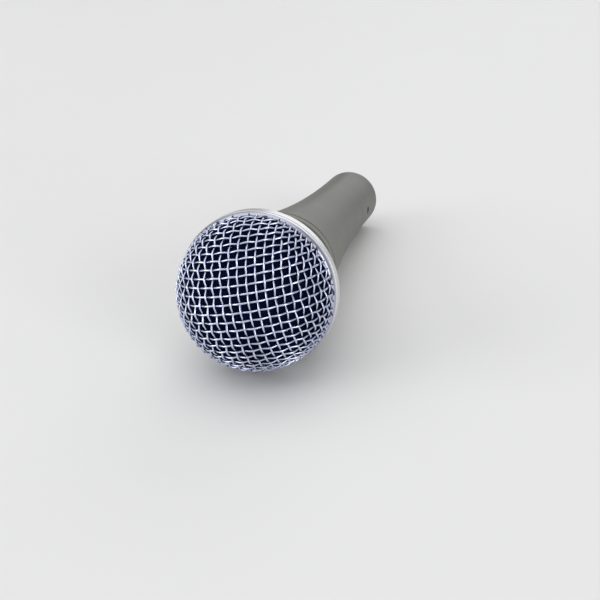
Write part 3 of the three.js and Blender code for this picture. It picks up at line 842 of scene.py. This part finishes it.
def band():
    """Flat band with a rounded lip against the front mesh and a narrow groove behind the lip."""
    inside, groove_floor = BAND_R - BAND_WALL, BAND_R - GROOVE_DEPTH
    profile = [
        (inside, BAND_BACK),
        (BAND_R - 0.35 * MM, BAND_BACK),
        (BAND_R, BAND_BACK + 0.5 * MM),
        (BAND_R, GROOVE_BACK - 0.1 * MM),
        (groove_floor, GROOVE_BACK + 0.05 * MM),
        (groove_floor, GROOVE_FRONT),
        *arc(BAND_R - LIP_W, CREST_AT, LIP_W, LIP_H, -8, 95, 18),
        (inside, BALL_CENTRE + 0.6 * MM),
    ]
    dress(turned("band", eased(profile, 0.1 * MM, 4), 256), "grille_band")


def threaded(face_r, above):
    """Extra radius for a thread on the face of one radius, above one height.

    The thread is a round ridge that climbs one pitch each turn and fades at its ends.
    """
    start, end, fade = THREAD_START, THREAD_START + PITCH * TURNS, 0.4 * MM

    def swell(radius, z, angle):
        if radius != face_r or z <= above:
            return 0
        turns_up = (z - start) / PITCH - angle / (2 * math.pi)
        from_crest = abs(turns_up - round(turns_up)) * PITCH
        ridge = math.cos(math.pi / 2 * min(1, from_crest / (1.3 * THREAD_H))) ** 1.2
        inside = min(1, max(0, (z - start) / fade + 1), max(0, (end - z) / fade + 1))
        return THREAD_H * ridge * inside

    return swell


def collar():
    """Ring at the foot of the ball, threaded inside."""
    bore = NECK_R + THREAD_PLAY
    outside = [
        (bore, COLLAR_BACK),
        (HANDLE_TOP_R - 0.1 * MM, COLLAR_BACK),
        (HANDLE_TOP_R, COLLAR_BACK + 0.9 * MM),
        (COLLAR_FRONT_R, COLLAR_FRONT - 1 * MM),
        (COLLAR_FRONT_R - 0.2 * MM, COLLAR_FRONT - 0.3 * MM),
        (COLLAR_FRONT_R - 0.9 * MM, COLLAR_FRONT),
        (bore + 0.3 * MM, COLLAR_FRONT),
    ]
    inside = climb(lambda z: bore, COLLAR_FRONT - 0.3 * MM, COLLAR_BACK + 0.1 * MM, 0.1 * MM)
    profile = [*eased(outside, 0.25 * MM), *inside]
    dress(turned("collar", profile, swell=threaded(bore, COLLAR_BACK)), "grille_collar")


def uneven(lump, depth):
    """Extra radius that wanders by up to a depth either way, in lumps of about this size."""

    def swell(radius, z, angle):
        return depth * noise.noise(Vector((radius * math.cos(angle), radius * math.sin(angle), z)) / lump)

    return swell


porous = uneven(1.6 * MM, 0.12 * MM)  # cut foam and felt


def liner(name, outer, inner, node):
    """A foam liner between an outer and an inner run of (radius, height) points."""
    thing = turned(name, [*outer, *list(inner)[::-1]], swell=porous)
    dress(thing, node, smooth_below=60)


def foam_liners():
    """Foam inside the front mesh, and inside the rear mesh round the capsule."""
    inset = MESH_WALL + GAP + 0.15 * MM
    foot = math.degrees(math.asin((BAND_FRONT + GAP - BALL_CENTRE) / BALL_R))
    outer, inner = [
        arc(0, BALL_CENTRE, radius, radius, foot, 90, 60)
        for radius in (BALL_R - inset, BALL_R - inset - FOAM_WALL)
    ]
    liner("dome_liner", outer, inner, "foam_dome")
    back, front = COLLAR_FRONT + 1.8 * MM, BALL_CENTRE - GAP
    clear_of_capsule = CAPSULE_R + 0.5 * MM
    outer = climb(lambda z: skirt_radius(z) - inset, back, front, 0.5 * MM)
    inner = climb(lambda z: max(clear_of_capsule, skirt_radius(z) - inset - FOAM_WALL), back, front, 0.5 * MM)
    liner("skirt_liner", list(outer)[::-1], list(inner)[::-1], "foam_skirt")


# ---------------------------------------------------------------- handle and connector


def side_rod(name, radius, start, end, easing=0.0):
    """A rod along local X at the height of the set screw."""
    rod = hoop(name, 0, radius, start, end, easing, sides=48)
    return move(rod, Matrix.Translation((0, 0, SCREW_AT)) @ Matrix.Rotation(math.pi / 2, 4, "Y"))


def handle_casing():
    """Tapered casting with the connector's socket at one end and a threaded neck at the other."""
    outside = [
        (SOCKET_R, 0.25 * MM),
        (SOCKET_R + 0.25 * MM, 0),
        (END_R - 0.5 * MM, 0),
        (END_R - 0.12 * MM, 0.15 * MM),
        (END_R, 0.6 * MM),
        *climb(handle_radius, 2 * MM, HANDLE_TOP - 0.8 * MM, 1.5 * MM),
        (HANDLE_TOP_R - 0.12 * MM, HANDLE_TOP - 0.25 * MM),
        (HANDLE_TOP_R - 0.5 * MM, HANDLE_TOP),
        (NECK_R, HANDLE_TOP),
        *climb(lambda z: NECK_R, HANDLE_TOP + 0.15 * MM, NECK_FRONT - 0.3 * MM, 0.1 * MM),
    ]
    inside = [
        (NECK_R - 0.3 * MM, NECK_FRONT),
        (MOUNT_R, NECK_FRONT), (MOUNT_R, MOUNT_SEAT),
        (LEDGE_R, MOUNT_SEAT), (LEDGE_R, MOUNT_SEAT - LEDGE_H),
        *climb(lambda z: handle_radius(z) - WALL, MOUNT_SEAT - LEDGE_H - 1 * MM, SHOULDER_FRONT, 4 * MM),
        (SHOULDER_R, SHOULDER_FRONT), (SHOULDER_R, SOCKET_DEPTH),
        (SOCKET_R, SOCKET_DEPTH),
    ]
    thing = turned("handle_casing", outside + inside, swell=threaded(NECK_R, HANDLE_TOP))
    carve(thing, side_rod("tool", SCREW_R + GAP, SOCKET_R - CLEAR, END_R + CLEAR))
    slot_size = (LATCH_W, 2 * MM, LATCH_FRONT - LATCH_BACK)
    carve(thing, block("tool", slot_size, (0, SOCKET_R, (LATCH_FRONT + LATCH_BACK) / 2), 0.3 * MM))
    dress(thing, "handle_shell", smooth_below=30)


def pin_place(pin):
    angle = math.radians(PIN_ANGLES[pin])
    return Vector((PIN_CIRCLE_R * math.cos(angle), PIN_CIRCLE_R * math.sin(angle), 0))


def connector_insert():
    """Insulating disc with a recessed face, three pin holes, and the rib that keys the plug."""
    radius = SOCKET_R - GAP
    face, back = INSERT_FACE, SOCKET_DEPTH - GAP
    rim_width, recess = 1.3 * MM, 0.5 * MM
    profile = [
        (0, face + recess), (radius - rim_width - 0.3 * MM, face + recess),
        (radius - rim_width, face), (radius, face),
        (radius, back), (0, back),
    ]
    thing = turned("connector_insert", eased(profile, 0.2 * MM)[::-1], 128)
    rib_size = (2 * MM, 1.6 * MM, 10 * MM)
    rib_at = (0, radius - 0.95 * MM, face - 9 * MM + rib_size[2] / 2)
    carve(thing, block("tool", rib_size, rib_at, 0.25 * MM), "UNION")
    for pin in PIN_ANGLES:
        hole = hoop("tool", 0, PIN_R + GAP / 3, face - CLEAR, back + CLEAR, 0, sides=48)
        carve(thing, move(hole, Matrix.Translation(pin_place(pin))))
    carve(thing, side_rod("tool", SCREW_R + GAP, radius - SCREW_BITE, radius + CLEAR))
    dress(thing, "xlr_insert", smooth_below=30)


def contact_pins():
    """Three turned pins with domed tips, each with a solder cup behind the insert."""
    cup_end, cup_floor = SOCKET_DEPTH + CUP_H, SOCKET_DEPTH + CUP_H / 3
    profile = [
        *arc(0, PIN_TIP + PIN_R, PIN_R, PIN_R, -90, 0, 12),
        (PIN_R, SOCKET_DEPTH - 0.1 * MM),
        (CUP_R, SOCKET_DEPTH),
        (CUP_R, cup_end - 0.15 * MM),
        (CUP_R - 0.15 * MM, cup_end),
        (CUP_R - CUP_WALL + 0.1 * MM, cup_end),
        (CUP_R - CUP_WALL, cup_end - 0.1 * MM),
        (CUP_R - CUP_WALL, cup_floor),
        (0, cup_floor),
    ]
    for pin in PIN_ANGLES:
        thing = turned(f"contact_pin_{pin}", profile, 64)
        dress(move(thing, Matrix.Translation(pin_place(pin))), f"xlr_pin_{pin}")


def set_screw():
    """Headless screw with a driver slot."""
    outer = handle_radius(SCREW_AT) - CHAMFER
    thing = side_rod("set_screw", SCREW_R, SOCKET_R - SCREW_BITE, outer, easing=0.2 * MM)
    carve(thing, block("tool", (1 * MM, 0.5 * MM, 4 * MM), (outer, 0, SCREW_AT)))
    dress(thing, "insert_set_screw", smooth_below=30)


def ground_contact():
    """Bent silver-plated strip beside pin 1 that touches the metal of the handle."""
    back = SOCKET_DEPTH + GAP
    inner, outer = PIN_CIRCLE_R + CUP_R + GAP, SHOULDER_R - GAP
    bend = [
        (inner, back), (outer, back),
        (outer, back + CONTACT_H), (outer - CONTACT_T, back + CONTACT_H),
        (outer - CONTACT_T, back + CONTACT_T), (inner, back + CONTACT_T),
    ]
    outline = eased(bend, 0.4 * MM, 5)
    count = len(outline)
    points = [(x, side * CONTACT_W / 2, z) for side in (-1, 1) for x, z in outline]
    faces = [list(range(count)), list(range(count, 2 * count))]
    faces += [[i, (i + 1) % count, count + (i + 1) % count, count + i] for i in range(count)]
    turn = Matrix.Rotation(math.radians(PIN_ANGLES[1]), 4, "Z")
    dress(move(shape("contact_strip", points, faces), turn), "ground_contact")


# ---------------------------------------------------------------- transformer and leads


def iron_core():
    """Iron frame with a window each side of the leg that carries the winding."""
    middle = CORE_BACK + CORE_H / 2
    window = (WINDOW_W, CORE_T + 2 * CLEAR, CORE_H - 2 * BAR_W)
    thing = block("iron_core", (CORE_W, CORE_T, CORE_H), (0, 0, middle), 0.2 * MM)
    for side in (-1, 1):
        carve(thing, block("tool", window, (side * (LEG_W + WINDOW_W) / 2, 0, middle)))
    dress(thing, "transformer_core", look=stamped_iron(), smooth_below=30)


def spool():
    """Square moulded spool with a flange at each end."""
    middle, length = (SPOOL_BACK + SPOOL_FRONT) / 2, SPOOL_FRONT - SPOOL_BACK
    hole = (LEG_W + 2 * GAP, CORE_T + 2 * GAP, length + 2 * CLEAR)
    barrel = (hole[0] + 2 * SPOOL_WALL, hole[1] + 2 * SPOOL_WALL, length - SPOOL_WALL)
    thing = block("spool", barrel, (0, 0, middle), 0.15 * MM)
    for end in (SPOOL_BACK + SPOOL_WALL / 2, SPOOL_FRONT - SPOOL_WALL / 2):
        carve(thing, block("tool", (FLANGE_W, FLANGE_T, SPOOL_WALL), (0, 0, end), 0.15 * MM), "UNION")
    carve(thing, block("tool", hole, (0, 0, middle)))
    dress(thing, "transformer_bobbin", smooth_below=30)


def box_radius(half_width, half_height, angle, squareness=8):
    """Distance from the middle of a box with round corners to its side, in a direction."""
    across, up = abs(math.cos(angle) / half_width), abs(math.sin(angle) / half_height)
    return (across**squareness + up**squareness) ** (-1 / squareness)


def wire_ridges(z, wire):
    """How far a layer of close turns of this wire falls back from its crests, at a height."""
    return wire / 2 * (abs(math.sin(math.pi * z / wire)) - 1)


def winding():
    """Close turns of copper wire round the spool."""
    play = GAP + SPOOL_WALL + GAP
    outer = (FLANGE_W / 2, WINDING_T / 2)
    hole = (LEG_W / 2 + play, CORE_T / 2 + play)
    back, front = SPOOL_BACK + SPOOL_WALL + GAP, SPOOL_FRONT - SPOOL_WALL - GAP
    outside = climb(lambda z: outer[1], back, front, WINDING_WIRE / 6)

    def wound(radius, z, angle):
        if radius == hole[1]:
            return box_radius(*hole, angle) - radius
        return box_radius(*outer, angle) + wire_ridges(z - back, WINDING_WIRE) - radius

    profile = [*outside, (hole[1], front), (hole[1], back)]
    dress(turned("winding", profile, 64, wound), "transformer_winding", smooth_below=50)


def set_adhesive():
    """Plug of adhesive in the bore, its skin uneven where it cooled."""
    slump = 0.2 * MM
    cooled = uneven(3 * MM, slump)

    def slumped(radius, z, angle):
        return cooled(radius, z, angle) - slump if radius > POTTING_HOLE_R + CLEAR else 0

    outer = handle_radius(SHOULDER_FRONT) - WALL - GAP
    back, front = SHOULDER_FRONT + GAP, CORE_BACK - GAP
    thing = hoop("set_adhesive", POTTING_HOLE_R, outer, back, front, 0.8 * MM, slumped)
    dress(thing, "transformer_potting")


def lead(node, route):
    """An insulated wire through a few points, with its copper strands bared at both ends."""
    bared = 0.5 * MM
    path = smooth_path(route, 10)
    facing = np.array([0.2, 1, 0])
    dress(bars(f"{node}_sleeve", [(path, facing)], LEAD_R, 16), node)
    first, last = path[0] - path[1], path[-1] - path[-2]
    start = path[0] + bared * first / np.linalg.norm(first)
    end = path[-1] + bared * last / np.linalg.norm(last)
    strands = np.concatenate([[start], path, [end]])
    dress(bars(f"{node}_strands", [(strands, facing)], STRANDS_R, 12), node, "copper")


def connector_leads():
    """From the pins' solder cups, through the hole in the adhesive, to the transformer."""
    in_hole, on_way = 0.42, 0.7
    cup_end = SOCKET_DEPTH + CUP_H
    for pin, node in {1: "lead_ground", 2: "lead_hot", 3: "lead_cold"}.items():
        x, y, _ = pin_place(pin)
        lead(node, [
            (x, y, cup_end + GAP),
            (x, y, cup_end + 1 * MM),
            (x * on_way, y * on_way, SHOULDER_FRONT - 0.4 * MM),
            (x * in_hole, y * in_hole, SHOULDER_FRONT + 2 * MM),
            (x * in_hole, y * in_hole, CORE_BACK - 2.5 * MM),
            (x * in_hole, y * in_hole, CORE_BACK - 0.9 * MM),
        ])


def capsule_leads():
    """From the transformer, along the bottom of the bore, to the turrets of the terminal board."""
    end = TURRET_BACK - CAPSULE_TRAVEL - 2 * GAP
    for side, node in {-1: "capsule_lead_a", 1: "capsule_lead_b"}.items():
        lead(node, [
            (side * 2 * MM, -4.2 * MM, CORE_FRONT - BAR_W + 0.5 * MM),
            (side * 2 * MM, -4.4 * MM, CORE_FRONT + 1 * MM),
            (side * 3.4 * MM, -7 * MM, CORE_FRONT + 9 * MM),
            (side * 2.6 * MM, -7.6 * MM, CORE_FRONT + 18 * MM),
            (side * 3.6 * MM, -4.5 * MM, end - 6 * MM),
            (side * TURRET_X, 0, end - 0.2 * MM),
        ])


# ---------------------------------------------------------------- capsule


def rubber_sleeve():
    """Grooved sleeve in the neck, with a flange that the capsule sits on."""
    inside, outer, back = CHAMBER_R + GAP, MOUNT_R - GAP, MOUNT_SEAT + GAP
    flange_r, flange_back = CAPSULE_R - 0.4 * MM, NECK_FRONT + GAP
    front = CAPSULE_BACK - CAPSULE_TRAVEL - GAP
    floor, groove_h, slope = outer - 0.8 * MM, 2 * MM, 0.4 * MM
    profile = [(inside, back), (outer, back)]
    for groove_at in (3 * MM, 8 * MM, 13 * MM):
        start, end = MOUNT_SEAT + groove_at, MOUNT_SEAT + groove_at + groove_h
        profile += [(outer, start), (floor, start + slope), (floor, end), (outer, end + slope)]
    profile += [(outer, flange_back), (flange_r, flange_back), (flange_r, front), (inside, front)]
    dress(turned("rubber_sleeve", eased(profile, 0.3 * MM)), "shock_mount")


def cup(name, outer, inner, foot, floor, rim, easing, hole=0, sides=SIDES):
    """A wall that stands on a floor, which may have a hole, between the heights of its foot and its rim."""
    profile = [(hole, foot), (outer, foot), (outer, rim), (inner, rim), (inner, floor), (hole, floor)]
    return turned(name, eased(profile, easing), sides)


def chamber():
    """Drawn tube, closed at the capsule's end, open at the board's."""
    inner, foot = CHAMBER_R - CHAMBER_WALL, CAPSULE_BACK - GAP
    thing = cup("drawn_chamber", CHAMBER_R, inner, foot, foot - CHAMBER_WALL, CHAMBER_BACK, 0.4 * MM)
    dress(thing, "rear_chamber")


def solder_board():
    """Round board with a domed turret for each lead."""
    front = CHAMBER_BACK - GAP
    thing = hoop("solder_board", 0, CHAMBER_R, front - BOARD_T, front, 0.1 * MM)
    for side in (-1, 1):
        turret = hoop("tool", 0, TURRET_R, TURRET_BACK, front - GAP, 0.25 * MM)
        carve(thing, move(turret, Matrix.Translation((side * TURRET_X, 0, 0))), "UNION")
    dress(thing, "terminal_board", smooth_below=30)


def housing():
    """Cup with a vent in its floor and a ring of side ports."""
    inner, floor = CAPSULE_R - CAPSULE_WALL, CAPSULE_BACK + CAPSULE_WALL
    thing = cup("housing", CAPSULE_R, inner, CAPSULE_BACK, floor, HOUSING_FRONT, 0.35 * MM, VENT_R, 128)
    for port in range(PORTS):
        size, turn = (4 * CAPSULE_WALL, PORT_W, PORT_H), 2 * math.pi * port / PORTS
        carve(thing, block("tool", size, (CAPSULE_R, 0, PORT_AT), 0.5 * MM, turn))
    dress(thing, "capsule_housing", smooth_below=30)


def magnet_parts():
    """Yoke, magnet, pole piece, felt ring and clamp, one inside the next."""
    yoke = cup("yoke", YOKE_R, COIL_OUTER + COIL_PLAY, YOKE_BACK, YOKE_FLOOR, YOKE_FRONT, 0.25 * MM)
    dress(yoke, "magnet_yoke")
    dress(hoop("magnet_disc", 0, MAGNET_R, YOKE_FLOOR + GAP, MAGNET_FRONT), "magnet")
    dress(hoop("pole_disc", 0, COIL_INNER - COIL_PLAY, MAGNET_FRONT + GAP, YOKE_FRONT), "pole_piece")
    wall = CAPSULE_R - CAPSULE_WALL - GAP
    felt_pad = hoop("felt_pad", YOKE_R + GAP, wall, YOKE_BACK, YOKE_BACK + FELT_T, 0.3 * MM, porous)
    dress(felt_pad, "felt_ring", smooth_below=60)
    dress(hoop("clamp_ring", DIAPHRAGM_R + GAP, wall, CLAMP_BACK, CLAMP_FRONT), "diaphragm_clamp")


def front_cover():
    """Low crown with a ring of holes, which seats the screen."""
    back, shoulder = HOUSING_FRONT + GAP, HOUSING_FRONT + 4.4 * MM
    rim_front, inside = COVER_FACE - 1 * MM, COVER_FACE - 2 * COVER_WALL
    profile = [
        (CAPSULE_R - COVER_WALL, back), (CAPSULE_R, back),
        (CAPSULE_R, shoulder), (CAPSULE_R - 2.5 * MM, rim_front),
        (COVER_FACE_R, rim_front), (COVER_FACE_R, COVER_FACE),
        (0, COVER_FACE), (0, inside),
        (COVER_FACE_R - 2 * COVER_WALL, inside), (CAPSULE_R - COVER_WALL, shoulder),
    ]
    thing = turned("front_cover", eased(profile, 0.3 * MM), 128)
    for hole in range(COVER_HOLES):
        turn = Matrix.Rotation(2 * math.pi * hole / COVER_HOLES, 4, "Z")
        tool = hoop("tool", 0, COVER_HOLE_R, inside - CLEAR, COVER_FACE + CLEAR, 0, sides=48)
        carve(thing, move(tool, turn @ Matrix.Translation((COVER_CIRCLE_R, 0, 0))))
    dress(thing, "resonator_cap", smooth_below=30)


def fine_screen():
    """Woven screen in a thin rim."""
    wire, pitch, rim_w = 0.11 * MM, 0.8 * MM, 0.7 * MM
    back, front = COVER_FACE + GAP, COVER_FACE + GAP + SCREEN_T
    reach = math.ceil(SCREEN_R / pitch)
    steps = range(-reach, reach + 1)

    def knot(row, step, along):
        height = (back + front) / 2 + wire * (-1) ** (row + step + along)
        return (step * pitch, row * pitch, height) if along else (row * pitch, step * pitch, height)

    def within(path):
        return np.hypot(path[:, 0], path[:, 1]) < SCREEN_R - rim_w / 2

    wires = []
    for along in (0, 1):
        for row in steps:
            path = smooth_path([knot(row, step, along) for step in steps], 4)
            wires += [(stretch, np.array([0, 0, 1])) for stretch in kept_stretches(path, within)]
    dress(bars("screen_cloth", wires, wire, 6), "capsule_screen", smooth_below=60)
    dress(hoop("screen_rim", SCREEN_R - rim_w, SCREEN_R, back, front, 0.2 * MM), "capsule_screen")


def moving_coil():
    """Film dome with a rolled surround of slanting pleats, and the coil behind it."""
    roll_r, roll_middle = (DIAPHRAGM_R - COIL_OUTER) / 2, (DIAPHRAGM_R + COIL_OUTER) / 2
    roll = list(arc(roll_middle, DIAPHRAGM_AT, roll_r, ROLL_H, 0, 180, 16))
    front = roll[:-1] + list(arc(0, DIAPHRAGM_AT, COIL_OUTER, DOME_H, 0, 90, 16))
    thing = turned("film_dome", front + [(r, z - FILM) for r, z in front[::-1]])
    pleats, pleat_depth, slant = 40, 0.12 * MM, 6
    for vertex in thing.data.vertices:
        radius, angle = math.hypot(vertex.co.x, vertex.co.y), math.atan2(vertex.co.y, vertex.co.x)
        out = (radius - roll_middle) / roll_r
        if abs(out) < 1:
            vertex.co.z += pleat_depth * (1 - out**2) * math.cos(pleats * angle + slant * out)
    dress(thing, "diaphragm", smooth_below=60)

    def wound(radius, z, angle):
        return wire_ridges(z, COIL_WIRE) * (1 if radius == COIL_OUTER else -1)

    back = COIL_FRONT - COIL_H
    outside = climb(lambda z: COIL_OUTER, back, COIL_FRONT, COIL_WIRE / 6)
    inside = climb(lambda z: COIL_INNER, COIL_FRONT, back, COIL_WIRE / 6)
    dress(turned("coil", [*outside, *inside], 128, wound), "voice_coil", smooth_below=50)


# ---------------------------------------------------------------- studio


def softbox(name, place, size, power):
    """A square area light that faces the microphone."""
    aim = Vector((0, -0.05, 0.02))
    data = bpy.data.lights.new(name, "AREA")
    data.shape = "SQUARE"
    data.size = size
    data.energy = power
    lamp = bpy.data.objects.new(name, data)
    lamp.location = place
    lamp.rotation_euler = (Vector(place) - aim).to_track_quat("Z", "Y").to_euler()
    bpy.context.scene.collection.objects.link(lamp)


def add_studio():
    """Pale table, four softboxes and pale surroundings."""
    reach = 20
    corners = [(-reach, -reach, 0), (reach, -reach, 0), (reach, reach, 0), (-reach, reach, 0)]
    mesh = bpy.data.meshes.new("table")
    mesh.from_pydata(corners, [], [(0, 1, 2, 3)])
    mesh.materials.append(pale_table().material)
    table = bpy.data.objects.new("table", mesh)
    bpy.context.scene.collection.objects.link(table)
    softbox("overhead", (-0.6, -0.2, 3.0), size=4.4, power=58)
    softbox("left_window", (-3.9, -2.7, 1.5), size=3.0, power=90)
    softbox("right_window", (3.6, -3.0, 1.5), size=2.4, power=72)
    softbox("back_wall", (0.45, 3.9, 1.65), size=3.0, power=27)
    world = bpy.data.worlds.new("surroundings")
    world.use_nodes = True
    background = world.node_tree.nodes["Background"].inputs
    background["Color"].default_value = (0.9, 0.91, 0.93, 1)
    background["Strength"].default_value = 0.45
    bpy.context.scene.world = world
    bpy.context.scene.view_settings.view_transform = "Standard"


# ---------------------------------------------------------------- assembly

add_camera()
finishes = {make.__name__: make() for make in (
    enamel, band_steel, foam, black_plastic, silver_plate, zinc_steel, soft_iron, magnet_alloy, copper, resin,
    rubber, aluminium, circuit_board, felt, film,
)}
finishes["grille_wire"] = plated_wire("plated_wire", BALL_R, BALL_R)
for insulation, light_shade in {
    "green_pvc": (0.03, 0.2, 0.07),
    "red_pvc": (0.36, 0.03, 0.03),
    "blue_pvc": (0.03, 0.08, 0.32),
    "yellow_pvc": (0.6, 0.42, 0.04),
}.items():
    finishes[insulation] = pvc(insulation, light_shade)
for build in (
    wire_dome, wire_skirt, band, collar, foam_liners,
    handle_casing, connector_insert, contact_pins, set_screw, ground_contact,
    iron_core, spool, winding, set_adhesive, connector_leads, capsule_leads,
    rubber_sleeve, chamber, solder_board, housing, magnet_parts, front_cover, fine_screen, moving_coil,
    add_studio,
):
    build()
